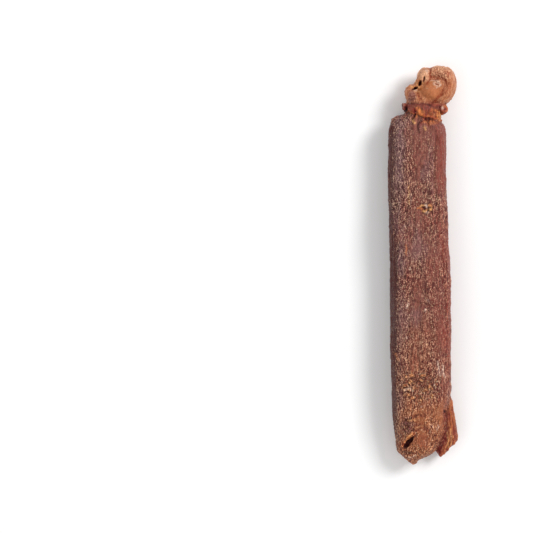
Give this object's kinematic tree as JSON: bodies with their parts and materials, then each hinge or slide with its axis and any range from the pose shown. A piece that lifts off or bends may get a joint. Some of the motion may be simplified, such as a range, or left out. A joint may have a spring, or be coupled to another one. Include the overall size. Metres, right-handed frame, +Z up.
{
  "type": "ginseng root",
  "caption": "Steamed and dried ginseng root, pressed squarish along its length, with a knotted head, a bark-ringed neck, a blunt tail and one cut side root, lying flat.",
  "frame": {"origin": "under the middle of the root's box, on the surface the root lies on", "axes": "+Y from the tail to the head, +Z up from the flat underside, +X to the side the cut side root is on"},
  "size_m": [0.0204, 0.1148, 0.0136],
  "materials": {
    "root_skin": "dry, finely wrinkled purple-brown root skin with a slight waxy sheen, tan to orange at the head and the tail, with pale gold flecks"
  },
  "bodies": {
    "root": {"ginseng_root": "root_skin"}
  },
  "joints": []
}
